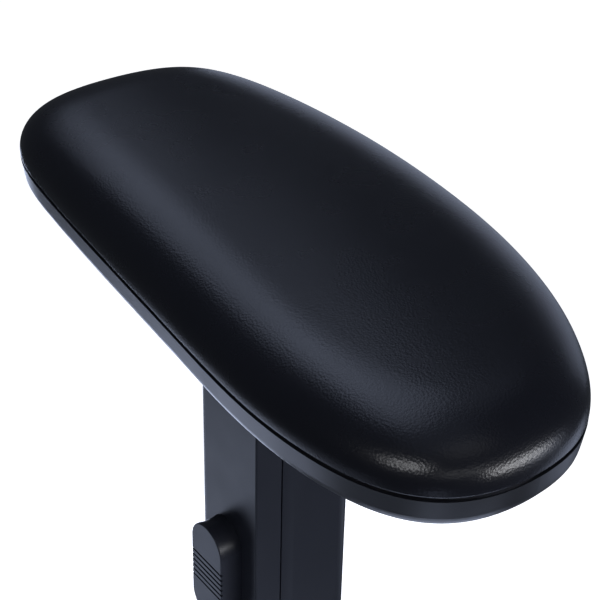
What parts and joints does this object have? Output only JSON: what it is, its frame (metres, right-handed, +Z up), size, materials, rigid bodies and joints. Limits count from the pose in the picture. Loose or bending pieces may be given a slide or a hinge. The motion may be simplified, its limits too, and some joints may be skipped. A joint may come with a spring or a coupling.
{
  "type": "chair armrest",
  "caption": "Height-adjustable office-chair armrest: moulded pad on a tray, two-part sleeve with a ribbed release button, notched upright and under-seat bracket.",
  "frame": {"origin": "centre of the four seat bolt slots, on the foot's top face, which meets the underside of the seat", "axes": "+X outboard, away from the sitter, +Y forward, +Z up; the arm stands at its lowest setting and is the one for the sitter's right-hand side"},
  "size_m": [0.194, 0.2503, 0.2952],
  "materials": {
    "cushion_skin": "satin polyurethane skin with a fine leather grain",
    "tray_plastic": "fine-grained nylon",
    "sleeve_plastic": "fine-grained nylon",
    "button_plastic": "fine-grained nylon",
    "cover_plastic": "fine-grained polypropylene",
    "glide_plastic": "smooth acetal",
    "board_plastic": "rough glass-filled polypropylene",
    "cast_alloy": "black-coated die casting",
    "painted_steel": "satin black powder coat",
    "bar_steel": "black-coated steel with worn edges",
    "spring_steel": "bare spring steel",
    "bright_steel": "zinc-plated steel",
    "zinc_black": "black zinc plate"
  },
  "bodies": {
    "base": {"mount_bracket": "painted_steel", "upright_bar": "bar_steel", "upright_bolts": "zinc_black", "upright_nuts": "zinc_black", "stop_screw": "zinc_black", "bracket_cover": "cover_plastic", "cover_screw": "zinc_black"},
    "arm": {"head_casting": "cast_alloy", "head_screws": "zinc_black", "sleeve_outer_half": "sleeve_plastic", "sleeve_inner_half": "sleeve_plastic", "sleeve_screws": "zinc_black", "upper_glide": "glide_plastic", "lower_glide": "glide_plastic", "latch_leaf": "spring_steel", "leaf_screws": "zinc_black", "pad_tray": "tray_plastic", "tray_screws": "zinc_black", "pad_board": "board_plastic", "tee_nuts": "bright_steel", "pad_cushion": "cushion_skin", "pad_screws": "zinc_black", "pad_washers": "zinc_black"},
    "button": {"button_cap": "button_plastic", "button_fork": "bright_steel", "fork_screw": "zinc_black"}
  },
  "joints": [
    {"name": "height_slide", "type": "slide", "parent": "base", "child": "arm", "axis": [0, 0, 1], "range_m": [0, 0.06]},
    {"name": "button_press", "type": "slide", "parent": "arm", "child": "button", "axis": [-1, 0, 0], "range_m": [0, 0.0045], "stiffness_N_per_m": 1200, "springref_m": -0.003, "deforming": ["latch_leaf"]}
  ]
}
